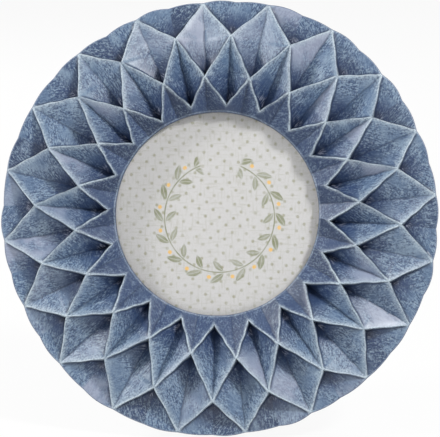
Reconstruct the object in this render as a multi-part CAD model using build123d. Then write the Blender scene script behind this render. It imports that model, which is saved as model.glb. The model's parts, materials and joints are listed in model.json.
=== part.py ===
"""Round easel-back photo frame: a cast ring of overlapping petals, its glazed opening and its hinged leg.

The frame is drawn lying on its back: X to the right, Y up the face, Z out of the face, with the flat
back of the ring at Z = 0 and the middle of the opening at X = Y = 0. It is then leaned back and stood on
the table, which is the plane Z = 0 of the finished part, with its front towards -Y.
"""
import math
import os

from build123d import *

# How it stands: angles in degrees, and the flat where the ring meets the table
LEAN = 15.0
LEG_OPENING = 26.0
STANDING_FLAT_DEPTH = 1.0

# What lies in the rebate, front to back, in millimetres
OPENING_DIAMETER = 70.0
LIP_WIDTH = 5.4
REBATE_CLEARANCE = 0.3
PANE_THICKNESS = 2.0
PRINT_THICKNESS = 0.3
CARD_THICKNESS = 1.5
BOARD_THICKNESS = 3.0
FACING_THICKNESS = 0.3

# Petal relief: widths of the rows from the opening outwards, and the rise of each ridge and pit
PETAL_COUNT = 20
PETAL_TURN = -6.8
COLLAR_WIDTH = 2.8
INNER_ROW_WIDTH = 10.6
MIDDLE_ROW_WIDTH = 14.5
OUTER_ROW_WIDTH = 11.7
RIM_MARGIN = 0.3
SCALLOP_RISE = 0.7
LIP_THICKNESS = 1.4
LIP_EDGE_THICKNESS = 1.5
COLLAR_RIDGE_RISE = 3.9
CREST_RISE = 5.4
OUTER_RIDGE_DROP = 3.5
TIP_DROP = 6.0
CREST_PIT_DEPTH = 7.9
OUTER_PIT_DEPTH = 6.3
RIM_CREASE_DEPTH = 0.6
PIT_OFFSET = 0.9

# Turn buttons and their screws
BUTTON_COUNT = 4
BUTTON_THICKNESS = 0.8
BUTTON_WIDTH = 7.0
BUTTON_REACH = 14.0
BUTTON_SETBACK = 5.0
BUTTON_PLAY = 0.15
BUTTON_SCREW_DIAMETER = 2.5
BUTTON_SCREW_HEAD_DIAMETER = 5.2
BUTTON_SCREW_HEAD_HEIGHT = 1.5
BUTTON_SCREW_LENGTH = 6.0
SCREW_SLOT_WIDTH = 0.8
SCREW_SLOT_DEPTH = 0.6
FASTENER_CLEARANCE = 0.05

# Leg and hinge
HINGE_HEIGHT = 20.0
LEG_THICKNESS = 2.6
LEG_TOP_WIDTH = 24.0
LEG_FOOT_WIDTH = 34.0
LEG_TOP_GAP = 0.4
LEG_BOARD_GAP = 0.3
LEG_FACING_INSET = 2.0
LEAF_THICKNESS = 0.8
LEAF_WIDTH = 22.0
LEAF_LENGTH = 14.0
LEAF_CORNER_RADIUS = 2.0
MIDDLE_KNUCKLE_WIDTH = 8.0
KNUCKLE_GAP = 0.3
PIN_DIAMETER = 2.0
PIN_CLEARANCE = 0.05
STOP_GAP = 0.05

# Hinge rivets
RIVET_DIAMETER = 2.5
RIVET_HEAD_DIAMETER = 4.8
RIVET_HEAD_HEIGHT = 0.8
RIVET_CLINCH_DIAMETER = 4.4
RIVET_CLINCH_THICKNESS = 0.5
RIVET_CLINCH_RECESS = 0.6
BOARD_RIVET_SPACING = 14.0
BOARD_RIVET_RISE = 9.0
LEG_RIVET_SPACING = 12.0
LEG_RIVET_DROP = 9.0

# Sawtooth hanger on the back of the ring
HANGER_SETBACK = 16.0
HANGER_LENGTH = 40.0
HANGER_WIDTH = 8.0
HANGER_THICKNESS = 0.8
HANGER_LIFT = 1.6
HANGER_FOOT_LENGTH = 7.0
HANGER_RAMP_LENGTH = 2.0
HANGER_TOOTH_PITCH = 3.0
HANGER_TOOTH_DEPTH = 2.0
HANGER_SCREW_DIAMETER = 1.8
HANGER_SCREW_HEAD_DIAMETER = 3.8
HANGER_SCREW_HEAD_HEIGHT = 1.0
HANGER_SCREW_LENGTH = 5.0

# Spare length on blanks and cutters that are trimmed afterwards
CUT_MARGIN = 1.5

# Radii of the ring, from the opening outwards
opening_radius = OPENING_DIAMETER / 2
rebate_radius = opening_radius + LIP_WIDTH
disc_radius = rebate_radius - REBATE_CLEARANCE
collar_radius = opening_radius + COLLAR_WIDTH
crest_radius = collar_radius + INNER_ROW_WIDTH
ridge_radius = crest_radius + MIDDLE_ROW_WIDTH
tip_radius = ridge_radius + OUTER_ROW_WIDTH
notch_radius = tip_radius + RIM_MARGIN
rim_radius = notch_radius + SCALLOP_RISE

# Levels in the rebate, from the back forwards
board_level = FACING_THICKNESS
card_level = board_level + BOARD_THICKNESS
print_level = card_level + CARD_THICKNESS
pane_level = print_level + PRINT_THICKNESS
rebate_depth = pane_level + PANE_THICKNESS

# Levels of the ridges and pits of the relief
collar_pit_level = rebate_depth + LIP_THICKNESS
collar_level = collar_pit_level + COLLAR_RIDGE_RISE
crest_level = collar_level + CREST_RISE
ridge_level = crest_level - OUTER_RIDGE_DROP
tip_level = ridge_level - TIP_DROP
crest_pit_level = crest_level - CREST_PIT_DEPTH
ridge_pit_level = ridge_level - OUTER_PIT_DEPTH
rim_crease_level = tip_level - RIM_CREASE_DEPTH
lip_level = rebate_depth + LIP_EDGE_THICKNESS

# Hinge axis, taken with the leg folded against the board
bore_radius = PIN_DIAMETER / 2 + PIN_CLEARANCE
knuckle_radius = bore_radius + LEAF_THICKNESS
leg_back_level = -(LEG_BOARD_GAP + LEG_THICKNESS)
moving_leaf_level = leg_back_level - FACING_THICKNESS
hinge_level = moving_leaf_level - LEAF_THICKNESS + knuckle_radius

# Height of the middle of the ring over the table, and the leg's length from its hinge to the table
lean_angle = math.radians(LEAN)
stand_height = rim_radius * math.cos(lean_angle) - STANDING_FLAT_DEPTH
hinge_stand_height = stand_height + HINGE_HEIGHT * math.cos(lean_angle) + hinge_level * math.sin(lean_angle)
leg_reach = hinge_stand_height / math.cos(math.radians(LEG_OPENING - LEAN))

# Circles and places of the fasteners
button_circle_radius = rebate_radius + BUTTON_SETBACK
button_turns = [(n + 0.5) * 360 / BUTTON_COUNT for n in range(BUTTON_COUNT)]
hanger_height = rebate_radius + HANGER_SETBACK
hanger_screw_spacing = HANGER_LENGTH - HANGER_FOOT_LENGTH
board_rivet_height = HINGE_HEIGHT + BOARD_RIVET_RISE
leg_rivet_height = HINGE_HEIGHT - LEG_RIVET_DROP


def polar(radius, turn, level=0.0):
    """Point at a radius, a clockwise turn from the top of the face, and a level above the back."""
    angle = math.radians(turn)
    return Vector(radius * math.sin(angle), radius * math.cos(angle), level)


def polygon(*points):
    """Flat face through the given corners."""
    return Face(Wire.make_polygon(points, close=True))


def cylinder(diameter, low, high, x=0.0, y=0.0):
    """Upright cylinder between two levels."""
    return Pos(x, y, low) * Cylinder(diameter / 2, high - low, align=(Align.CENTER, Align.CENTER, Align.MIN))


def block(width, x, y_low, y_high, low, high):
    """Box centred on x, between two heights on the face and two levels."""
    middle = Pos(x, (y_low + y_high) / 2, (low + high) / 2)
    return middle * Box(width, y_high - y_low, high - low)


def side_by_side(spacing):
    """X places of a pair of fasteners."""
    return (-spacing / 2, spacing / 2)


def petal_blank():
    """Solid with the petal relief in front, wider than the ring at the rim and the opening.

    Every petal is two facets that fold down into a crease, from its outer tip to a pit. The pit lies
    just outside the ridges of the next row inwards, which overhang it as two steep walls.
    """
    step = 360 / PETAL_COUNT
    outer = rim_radius + CUT_MARGIN
    inner = opening_radius - CUT_MARGIN
    faces = []
    for n in range(PETAL_COUNT):
        here = PETAL_TURN + n * step
        back, ahead, after = here - step / 2, here + step / 2, here + step
        tip, next_tip = (polar(tip_radius, t, tip_level) for t in (here, after))
        last_ridge, ridge = (polar(ridge_radius, t, ridge_level) for t in (back, ahead))
        crest, next_crest = (polar(crest_radius, t, crest_level) for t in (here, after))
        last_collar, collar = (polar(collar_radius, t, collar_level) for t in (back, ahead))
        ridge_pit = polar(ridge_radius + PIT_OFFSET, ahead, ridge_pit_level)
        crest_pit = polar(crest_radius + PIT_OFFSET, here, crest_pit_level)
        collar_pit = polar(collar_radius + PIT_OFFSET, ahead, collar_pit_level)
        rim_tip, next_rim_tip = (polar(outer, t, tip_level) for t in (here, after))
        rim_crease = polar(outer, ahead, rim_crease_level)
        last_lip, lip, ahead_lip = (polar(inner, t, lip_level) for t in (back, here, ahead))

        faces += [polygon(tip, rim_tip, rim_crease), polygon(tip, rim_crease, ridge_pit)]
        faces += [polygon(next_tip, next_rim_tip, rim_crease), polygon(next_tip, rim_crease, ridge_pit)]
        faces += [polygon(tip, ridge, ridge_pit), polygon(next_tip, ridge, ridge_pit)]
        faces += [polygon(tip, last_ridge, crest_pit), polygon(tip, ridge, crest_pit)]
        faces += [polygon(last_ridge, crest, crest_pit), polygon(ridge, crest, crest_pit)]
        faces += [polygon(ridge, crest, collar_pit), polygon(ridge, next_crest, collar_pit)]
        faces += [polygon(crest, collar, collar_pit), polygon(next_crest, collar, collar_pit)]
        faces += [polygon(crest, last_collar, lip), polygon(crest, collar, lip)]
        faces += [polygon(last_collar, last_lip, lip), polygon(collar, ahead_lip, lip)]

        for start, end, front_start, front_end in (
            (here, ahead, rim_tip, rim_crease),
            (ahead, after, rim_crease, next_rim_tip),
        ):
            faces.append(polygon(front_start, front_end, polar(outer, end), polar(outer, start)))
            lip_start, lip_end = (polar(inner, t, lip_level) for t in (start, end))
            faces.append(polygon(lip_start, lip_end, polar(inner, end), polar(inner, start)))
            faces.append(polygon(*(polar(r, t) for r, t in
                                   ((outer, start), (outer, end), (inner, end), (inner, start)))))
    return Solid(Shell(faces))


def scalloped_plug():
    """Upright plug with the scalloped outline of the ring: two shallow lobes to each petal."""
    step = 180 / PETAL_COUNT
    lobes = []
    for n in range(2 * PETAL_COUNT):
        turn = PETAL_TURN + n * step
        start, end = polar(notch_radius, turn), polar(notch_radius, turn + step)
        lobes.append(ThreePointArc(start, polar(rim_radius, turn + step / 2), end))
    return extrude(Face(Wire(lobes)), amount=crest_level + CUT_MARGIN, dir=(0, 0, 1))


def make_frame_ring():
    """Cast ring, bored for the opening and the rebate, with pilot holes in its back."""
    ring = petal_blank() & scalloped_plug()
    ring -= cylinder(OPENING_DIAMETER, -CUT_MARGIN, crest_level + CUT_MARGIN)
    ring -= cylinder(2 * rebate_radius, -CUT_MARGIN, rebate_depth)
    for turn in button_turns:
        place = polar(button_circle_radius, turn)
        pilot = BUTTON_SCREW_DIAMETER + 2 * FASTENER_CLEARANCE
        ring -= cylinder(pilot, -CUT_MARGIN, BUTTON_SCREW_LENGTH + FASTENER_CLEARANCE, place.X, place.Y)
    for x in side_by_side(hanger_screw_spacing):
        pilot = HANGER_SCREW_DIAMETER + 2 * FASTENER_CLEARANCE
        ring -= cylinder(pilot, -CUT_MARGIN, HANGER_SCREW_LENGTH + FASTENER_CLEARANCE, x, hanger_height)
    return ring


def make_back_board():
    """Fibreboard disc, drilled for the hinge rivets and recessed in front for their clinched ends."""
    board = cylinder(2 * disc_radius, board_level, card_level)
    for x in side_by_side(BOARD_RIVET_SPACING):
        hole = RIVET_DIAMETER + 2 * FASTENER_CLEARANCE
        recess = RIVET_CLINCH_DIAMETER + 2 * FASTENER_CLEARANCE
        board -= cylinder(hole, board_level - CUT_MARGIN, card_level + CUT_MARGIN, x, board_rivet_height)
        clinch_level = card_level - RIVET_CLINCH_RECESS
        board -= cylinder(recess, clinch_level, card_level + CUT_MARGIN, x, board_rivet_height)
    return board


def make_board_facing():
    """Paper skin on the back of the board."""
    facing = cylinder(2 * disc_radius, 0, board_level)
    for x in side_by_side(BOARD_RIVET_SPACING):
        hole = RIVET_DIAMETER + 2 * FASTENER_CLEARANCE
        facing -= cylinder(hole, -CUT_MARGIN, board_level + CUT_MARGIN, x, board_rivet_height)
    return facing


def make_turn_button(turn):
    """Round-ended steel strip on its screw, lying inwards over the board."""
    length = BUTTON_REACH + BUTTON_WIDTH / 2
    outline = Pos(0, -(BUTTON_REACH - BUTTON_WIDTH / 2) / 2) * SlotOverall(length, BUTTON_WIDTH, rotation=90)
    strip = Pos(0, 0, -BUTTON_PLAY) * extrude(outline, amount=-BUTTON_THICKNESS)
    hole = BUTTON_SCREW_DIAMETER + 2 * FASTENER_CLEARANCE
    strip -= cylinder(hole, -BUTTON_PLAY - BUTTON_THICKNESS - CUT_MARGIN, CUT_MARGIN)
    return Pos(polar(button_circle_radius, turn)) * Rot(Z=-turn) * strip


def make_screw(diameter, head_diameter, head_height, head_level, depth):
    """Slotted pan-head screw driven forwards from the back."""
    head = cylinder(head_diameter, head_level - head_height, head_level)
    head = fillet(head.edges().filter_by(GeomType.CIRCLE).sort_by(Axis.Z)[0], head_height / 2)
    slot_level = head_level - head_height
    slot_floor = slot_level + SCREW_SLOT_DEPTH
    head -= block(SCREW_SLOT_WIDTH, 0, -head_diameter, head_diameter, slot_level, slot_floor)
    return head + cylinder(diameter, head_level, depth)


def make_button_screws():
    """One screw for each turn button."""
    head_level = -(2 * BUTTON_PLAY + BUTTON_THICKNESS)
    screw = make_screw(BUTTON_SCREW_DIAMETER, BUTTON_SCREW_HEAD_DIAMETER, BUTTON_SCREW_HEAD_HEIGHT,
                       head_level, BUTTON_SCREW_LENGTH)
    return Compound([Pos(polar(button_circle_radius, turn)) * Rot(Z=-turn) * screw for turn in button_turns])


def hinge_barrel(radius, width, x):
    """Cylinder along the hinge axis."""
    return Pos(x, HINGE_HEIGHT, hinge_level) * Rot(Y=90) * Cylinder(radius, width)


def leaf_plate(y_end, low, high):
    """Leaf from the hinge axis to its far end, with the far corners rounded."""
    y_low, y_high = min(HINGE_HEIGHT, y_end), max(HINGE_HEIGHT, y_end)
    plate = block(LEAF_WIDTH, 0, y_low, y_high, low, high)
    far_corners = plate.edges().filter_by(Axis.Z).group_by(Axis.Y)[-1 if y_end > HINGE_HEIGHT else 0]
    return fillet(far_corners, LEAF_CORNER_RADIUS)


def make_hinge_fixed_leaf():
    """Leaf on the board, with a knuckle at each side and a notch for the middle knuckle."""
    leaf = leaf_plate(HINGE_HEIGHT + LEAF_LENGTH, -LEAF_THICKNESS, 0)
    inner = MIDDLE_KNUCKLE_WIDTH / 2 + KNUCKLE_GAP
    width = LEAF_WIDTH / 2 - inner
    for x in side_by_side(2 * inner + width):
        leaf += hinge_barrel(knuckle_radius, width, x)
        leaf += block(width, x, HINGE_HEIGHT, HINGE_HEIGHT + knuckle_radius, hinge_level, 0)
    notch_end = HINGE_HEIGHT + knuckle_radius + KNUCKLE_GAP
    leaf -= block(2 * inner, 0, HINGE_HEIGHT - CUT_MARGIN, notch_end, hinge_level, CUT_MARGIN)
    leaf -= hinge_barrel(bore_radius, LEAF_WIDTH + CUT_MARGIN, 0)
    for x in side_by_side(BOARD_RIVET_SPACING):
        hole = RIVET_DIAMETER + 2 * FASTENER_CLEARANCE
        leaf -= cylinder(hole, -LEAF_THICKNESS - CUT_MARGIN, CUT_MARGIN, x, board_rivet_height)
    return leaf


def make_hinge_moving_leaf():
    """Leaf on the leg, with the middle knuckle and the tongue that stops on the fixed leaf."""
    opening = math.radians(LEG_OPENING)
    back_level = moving_leaf_level - LEAF_THICKNESS
    leaf = leaf_plate(HINGE_HEIGHT - LEAF_LENGTH, back_level, moving_leaf_level)
    clear_of_knuckles = HINGE_HEIGHT - knuckle_radius - KNUCKLE_GAP
    for x in side_by_side(LEAF_WIDTH):
        width = LEAF_WIDTH - MIDDLE_KNUCKLE_WIDTH
        leaf -= block(width, x, clear_of_knuckles, HINGE_HEIGHT + CUT_MARGIN, back_level - CUT_MARGIN, 0)
    leaf += hinge_barrel(knuckle_radius, MIDDLE_KNUCKLE_WIDTH, 0)

    # The tongue's front corner meets the fixed leaf when the leg is open
    stop_level = -LEAF_THICKNESS - STOP_GAP - hinge_level
    front_level = moving_leaf_level - hinge_level
    tongue_length = (stop_level - front_level * math.cos(opening)) / math.sin(opening)
    tongue_end = HINGE_HEIGHT + tongue_length
    leaf += block(MIDDLE_KNUCKLE_WIDTH, 0, HINGE_HEIGHT, tongue_end, back_level, moving_leaf_level)
    leaf -= hinge_barrel(bore_radius, LEAF_WIDTH, 0)
    for x in side_by_side(LEG_RIVET_SPACING):
        hole = RIVET_DIAMETER + 2 * FASTENER_CLEARANCE
        leaf -= cylinder(hole, back_level - CUT_MARGIN, 0, x, leg_rivet_height)
    return leaf


def leg_outline():
    """Tapered outline of the leg, from just under the hinge to a little past the table."""
    top = HINGE_HEIGHT - knuckle_radius - LEG_TOP_GAP
    bottom = HINGE_HEIGHT - leg_reach - CUT_MARGIN
    half_top, half_foot = LEG_TOP_WIDTH / 2, LEG_FOOT_WIDTH / 2
    return polygon((-half_top, top), (half_top, top), (half_foot, bottom), (-half_foot, bottom))


def make_easel_leg():
    """Fibreboard leg, drilled for its rivets and recessed in front for their clinched ends."""
    leg = Pos(0, 0, leg_back_level) * extrude(leg_outline(), amount=LEG_THICKNESS, dir=(0, 0, 1))
    for x in side_by_side(LEG_RIVET_SPACING):
        hole = RIVET_DIAMETER + 2 * FASTENER_CLEARANCE
        recess = RIVET_CLINCH_DIAMETER + 2 * FASTENER_CLEARANCE
        leg -= cylinder(hole, leg_back_level - CUT_MARGIN, 0, x, leg_rivet_height)
        leg -= cylinder(recess, -LEG_BOARD_GAP - RIVET_CLINCH_RECESS, 0, x, leg_rivet_height)
    return leg


def make_leg_facing():
    """Paper skin on the back of the leg."""
    skin = Pos(0, 0, moving_leaf_level) * extrude(leg_outline(), amount=FACING_THICKNESS, dir=(0, 0, 1))
    for x in side_by_side(LEG_RIVET_SPACING):
        hole = RIVET_DIAMETER + 2 * FASTENER_CLEARANCE
        skin -= cylinder(hole, moving_leaf_level - CUT_MARGIN, 0, x, leg_rivet_height)
    return skin


def make_rivets(spacing, height, head_level, clinch_level):
    """Pair of rivets headed at the back, each with its clinched end turned over in front."""
    rivet = cylinder(RIVET_HEAD_DIAMETER, head_level - RIVET_HEAD_HEIGHT, head_level)
    rim = rivet.edges().filter_by(GeomType.CIRCLE).sort_by(Axis.Z)[0]
    rivet = fillet(rim, RIVET_HEAD_HEIGHT / 2)
    rivet += cylinder(RIVET_DIAMETER, head_level, clinch_level)
    rivet += cylinder(RIVET_CLINCH_DIAMETER, clinch_level, clinch_level + RIVET_CLINCH_THICKNESS)
    return Compound([Pos(x, height) * rivet for x in side_by_side(spacing)])


def make_sawtooth_hanger():
    """Steel strip bowed off the back of the ring, with teeth along its lower edge for a nail."""
    half = HANGER_LENGTH / 2
    foot = half - HANGER_FOOT_LENGTH
    bow = foot - HANGER_RAMP_LENGTH
    centre_line = [(-half, 0), (-foot, 0), (-bow, -HANGER_LIFT), (bow, -HANGER_LIFT), (foot, 0), (half, 0)]
    front = [Vector(x, 0, z) for x, z in centre_line]
    back = [Vector(x, 0, z - HANGER_THICKNESS) for x, z in reversed(centre_line)]
    strip = extrude(polygon(*front, *back), amount=HANGER_WIDTH, dir=(0, 1, 0))
    teeth = int(2 * bow / HANGER_TOOTH_PITCH)
    notch = polygon((-HANGER_TOOTH_PITCH / 2, 0), (HANGER_TOOTH_PITCH / 2, 0), (0, HANGER_TOOTH_DEPTH))
    for n in range(teeth):
        x = (n - (teeth - 1) / 2) * HANGER_TOOTH_PITCH
        strip -= Pos(x, 0, -HANGER_LIFT - HANGER_THICKNESS - CUT_MARGIN) * extrude(
            notch, amount=HANGER_LIFT + HANGER_THICKNESS + 2 * CUT_MARGIN, dir=(0, 0, 1))
    for x in side_by_side(hanger_screw_spacing):
        hole = HANGER_SCREW_DIAMETER + 2 * FASTENER_CLEARANCE
        strip -= cylinder(hole, -HANGER_THICKNESS - CUT_MARGIN, CUT_MARGIN, x, HANGER_WIDTH / 2)
    return Pos(0, hanger_height - HANGER_WIDTH / 2) * strip


def make_hanger_screws():
    """One screw at each end of the hanger."""
    screw = make_screw(HANGER_SCREW_DIAMETER, HANGER_SCREW_HEAD_DIAMETER, HANGER_SCREW_HEAD_HEIGHT,
                       -HANGER_THICKNESS, HANGER_SCREW_LENGTH)
    return Compound([Pos(x, hanger_height) * screw for x in side_by_side(hanger_screw_spacing)])


def frame_pieces():
    """Pieces of the ring, its back and its turn buttons, lying on their back."""
    pieces = {
        "frame_ring": make_frame_ring(),
        "glass_disc": cylinder(2 * disc_radius, pane_level, rebate_depth),
        "photo_print": cylinder(2 * disc_radius, print_level, pane_level),
        "packing_card": cylinder(2 * disc_radius, card_level, print_level),
        "back_board": make_back_board(),
        "board_facing": make_board_facing(),
        "turn_button_screws": make_button_screws(),
        "hinge_fixed_leaf": make_hinge_fixed_leaf(),
        "hinge_pin": hinge_barrel(PIN_DIAMETER / 2, LEAF_WIDTH, 0),
        "board_rivets": make_rivets(BOARD_RIVET_SPACING, board_rivet_height, -LEAF_THICKNESS,
                                    card_level - RIVET_CLINCH_RECESS),
        "sawtooth_hanger": make_sawtooth_hanger(),
        "hanger_screws": make_hanger_screws(),
    }
    for n, turn in enumerate(button_turns, start=1):
        pieces[f"turn_button_{n}"] = make_turn_button(turn)
    return pieces


def leg_pieces():
    """Pieces that fold with the leg, folded against the board."""
    return {
        "easel_leg": make_easel_leg(),
        "leg_facing": make_leg_facing(),
        "hinge_moving_leaf": make_hinge_moving_leaf(),
        "leg_rivets": make_rivets(LEG_RIVET_SPACING, leg_rivet_height, moving_leaf_level - LEAF_THICKNESS,
                                  -LEG_BOARD_GAP - RIVET_CLINCH_RECESS),
    }


def trim_below(shape, level):
    """Shape with everything under a level above the table cut away."""
    size = 4 * rim_radius
    return shape - Pos(0, 0, level) * Box(size, size, size, align=(Align.CENTER, Align.CENTER, Align.MAX))


def main():
    """Builds every piece, stands the frame on the table and writes one file for each node."""
    stand = Pos(0, 0, stand_height) * Rot(X=90 - LEAN)
    hinge = Pos(0, HINGE_HEIGHT, hinge_level)
    open_leg = stand * hinge * Rot(X=LEG_OPENING) * hinge.inverse()
    nodes = {name: stand * shape for name, shape in frame_pieces().items()}
    nodes |= {name: open_leg * shape for name, shape in leg_pieces().items()}
    nodes["frame_ring"] = trim_below(nodes["frame_ring"], 0)
    nodes["easel_leg"] = trim_below(nodes["easel_leg"], 0)
    nodes["leg_facing"] = trim_below(nodes["leg_facing"], LEG_FACING_INSET)

    middle = Compound(list(nodes.values())).bounding_box().center()
    centre = Pos(-middle.X, -middle.Y, 0)
    os.makedirs("parts", exist_ok=True)
    for name, shape in nodes.items():
        export_step(centre * shape, f"parts/{name}.step")
    return centre * stand


if __name__ == "__main__":
    main()
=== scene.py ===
"""Round photo frame: its painted petal ring, the print under the glass, the easel back and the stage.

Sizes on the face are in millimetres: X to the right, Y up the face and Z out of it, from the middle of
the opening on the flat back of the ring. Turns are in degrees, clockwise from the top of the face.
"""
import json
import math

import bmesh
import bpy
import numpy as np
from bpy.props import FloatProperty, FloatVectorProperty, PointerProperty
from mathutils import Matrix, Vector

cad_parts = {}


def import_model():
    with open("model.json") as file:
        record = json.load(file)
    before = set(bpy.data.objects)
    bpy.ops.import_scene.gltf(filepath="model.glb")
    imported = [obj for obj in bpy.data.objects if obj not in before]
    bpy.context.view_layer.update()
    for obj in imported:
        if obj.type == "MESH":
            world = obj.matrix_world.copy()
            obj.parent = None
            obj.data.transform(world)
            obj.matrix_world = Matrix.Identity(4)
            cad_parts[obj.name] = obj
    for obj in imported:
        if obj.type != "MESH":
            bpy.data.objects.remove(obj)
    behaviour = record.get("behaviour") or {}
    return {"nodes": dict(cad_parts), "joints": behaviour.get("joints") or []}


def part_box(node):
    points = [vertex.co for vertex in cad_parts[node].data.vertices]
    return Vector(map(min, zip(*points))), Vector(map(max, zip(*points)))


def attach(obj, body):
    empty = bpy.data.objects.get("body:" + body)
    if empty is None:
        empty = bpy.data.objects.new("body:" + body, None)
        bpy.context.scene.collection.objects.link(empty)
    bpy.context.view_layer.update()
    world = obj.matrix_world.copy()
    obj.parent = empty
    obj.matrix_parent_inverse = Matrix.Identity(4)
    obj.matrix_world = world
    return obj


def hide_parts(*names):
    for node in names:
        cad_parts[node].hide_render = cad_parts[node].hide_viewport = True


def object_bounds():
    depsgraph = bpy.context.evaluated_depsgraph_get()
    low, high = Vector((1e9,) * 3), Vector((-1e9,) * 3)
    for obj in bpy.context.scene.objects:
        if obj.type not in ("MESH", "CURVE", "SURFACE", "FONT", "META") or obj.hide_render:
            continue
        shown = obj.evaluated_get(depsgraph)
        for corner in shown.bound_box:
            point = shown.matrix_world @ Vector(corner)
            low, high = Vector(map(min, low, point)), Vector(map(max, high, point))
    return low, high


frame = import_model()
CAD_LOW, CAD_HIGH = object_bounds()

bl_info = {
    "name": "Round petal photo frame",
    "version": (1, 0, 0),
    "blender": (4, 5, 0),
    "location": "3D View > Sidebar > Photo frame",
    "description": "Finishes the round photo frame: painted ring, print, glass, easel back and stage",
    "category": "Object",
}

MM = 0.001

# Petal relief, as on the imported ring
PETALS = 20
STEP = 360 / PETALS
FIRST_TURN = -6.8
TIP_RADIUS, RIDGE_RADIUS, CREST_RADIUS, COLLAR_RADIUS = 75.05, 62.9, 48.4, 37.8
TIP_LEVEL, RIDGE_LEVEL, CREST_LEVEL, COLLAR_LEVEL = 8.3, 14.3, 17.8, 12.4
RIDGE_PIT_LEVEL, CREST_PIT_LEVEL, COLLAR_PIT_LEVEL = 8.0, 9.9, 8.5
RIM_CREASE_LEVEL = 7.7
PIT_OFFSET = 0.9
SCALLOP_RISES = 0.6, 0.3
OPENING_RADIUS = 35.0
LIP_LEVEL = 8.6
LIP_FOLD = 0.9
REBATE_RADIUS = 40.4
REBATE_DEPTH = 7.1
FACING_THICKNESS = 0.3
PANE_LEVEL = 5.1

# Pane: ground edge, and the thin air between it and its neighbours
PANE_SEAM = 0.4
PANE_AIR = 0.05

# Hand-made look of the casting: its seed, drift of the petals, rim out of round, rows off the middle
RELIEF_SEED = 11
TURN_DRIFT = 1.2
OUT_OF_ROUND = 1.2
OUT_OF_ROUND_TURN = 22.6
COLLAR_OFFSET = (0.0, 0.6)
OPENING_OFFSET = (-0.7, 1.1)

# Rounding of the casting, and limits: of a band as a share of its half petal, and of the middle of a crease
RIM_ROUND, LIP_ROUND, BACK_ROUND = 0.35, 0.4, 0.5
RIDGE_CROWN = 0.04
CROSSING_SPREAD = 0.7
CROSSING_REACH = 1.5
VALLEY_ROUND = 0.2
CREASE_START = 1.2
LEAST_WALL_RUN = 0.3
WIDEST_BAND = 0.4
CREASE_MIDDLE = 0.2, 0.8

# Parts of a millimetre to which points are welded, and angles over which edges of the ring and the pane stay
# sharp and those of the metal are softened
WELD_PARTS = 2000
RING_SHARP, PANE_SHARP, METAL_SHARP = 65, 30, 35

# Paint: reach of the dark wash and painted shade from the pits of each row, what stands for it elsewhere,
# other washes with painted shade in grooves and on the lip wall, and what counts as far from a ridge or a
# fold
PIT_REACH = (3.8, 5.0, 6.0)
PLAIN_PIT_GAP = 1.4
COLLAR_PIT_GAP = 1.15
GROOVE_FADE = 0.4
LIP_WALL_SHADE = 0.8
FAR = 9.0

# Paint: share of a wall from which it shows and at which its groove is full, how much sooner the pale band of
# a ridge ends beside a wall and on the collar, and where it starts and how soon it ends at the lip
WALL_SHOWS, WALL_FULL = 0.02, 0.06
WALL_STOP, COLLAR_STOP = 8, 3
LIP_START, LIP_STOP = 3.0, 4

# Paint: values kept on the mesh
PAINT_LAYERS = "ridge_gap", "fold_gap", "groove", "pit_gap"

# Paint: seed and lightness of the facets of each row from the rim inwards, the turn towards which the
# collar's facets get painted light and away from which they get painted shade, how far they differ, and the
# widest slant of the brush
PAINT_SEED = 24105
TONE_RANGES = (-0.3, 1.0), (0.0, 1.0), (0.05, 1.2), (0.0, 1.0)
PAINTED_LIGHT_TURN = 35
COLLAR_PAINTED_SHADING = 0.9
HATCH_ANGLE = 55

# Print: leaves of the wreath, their start on the stem, lean, middle, half length and half width, place of the
# berries, soft edges of berries and stem, opening at the top, and stretch of the threads of the linen
WREATH_LEAVES = 16
LEAF_START, LEAF_LEAN = 2.2, 40
LEAF_MIDDLE, LEAF_REACH, LEAF_WIDTH = 3.3, 2.7, 1.05
BERRY_ALONG, BERRY_OUT = 3.0, 1.9
BERRY_EDGE, STEM_EDGE = (0.75, 0.55), (0.30, 0.16)
WREATH_OPENING = 0.34, 0.40
THREAD_STRETCH = (0.2, 1.7, 1.0), (1.7, 0.2, 1.0)

# Mesh steps along a ridge, down the lip, across the band, wall and facet of a half petal, round an edge, down
# the side, over the back and around the pane
RIDGE_STEPS = 20
LIP_STEPS = 6
BAND_STEPS = 2
WALL_STEPS = 4
FACET_STEPS = 8
ROUND_STEPS = 3
SIDE_STEPS = 4
BACK_STEPS = 6
PANE_STEPS = 96

# Stage: distance of the lamps in front, their turn and their height over the face in degrees, and the level
# that the camera looks at
LAMP_DISTANCE = 900
RIGHT_LAMP = 46, 39
LEFT_LAMP = 296, 24
AIM_LEVEL = 7.0

# Stage in metres: size of the lamps in front, place of the back lamp from the middle and its size, place of
# the low lamp from the front on the floor and its size, and reach of the floor; then the floor's white share
LAMP_SIZE = 0.14
BACK_LAMP, BACK_LAMP_SIZE = (-0.35, 0.75, 0.55), 0.6
LOW_LAMP, LOW_LAMP_SIZE = (0.02, -0.13, 0.012), 0.12
FLOOR_REACH = 10.0
FLOOR_WHITE = 0.93


def srgb(red, green, blue):
    """Linear colour with full alpha from everyday 0 to 255 values."""
    def linear(value):
        share = value / 255
        return share / 12.92 if share <= 0.04045 else ((share + 0.055) / 1.055) ** 2.4
    return linear(red), linear(green), linear(blue), 1.0


def colour(name, description, red, green, blue):
    """Colour property."""
    return FloatVectorProperty(name=name, description=description, subtype="COLOR", size=4,
                               min=0, max=1, default=srgb(red, green, blue))


def length(name, description, default):
    """Length property with its default in millimetres."""
    return FloatProperty(name=name, description=description, unit="LENGTH", min=0, default=default * MM)


def angle(name, description, default):
    """Angle property with its default in degrees."""
    return FloatProperty(name=name, description=description, subtype="ANGLE", default=math.radians(default))


def power(name, description, default):
    """Power property of a lamp, in watts."""
    return FloatProperty(name=name, description=description, subtype="POWER", default=default)


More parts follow.
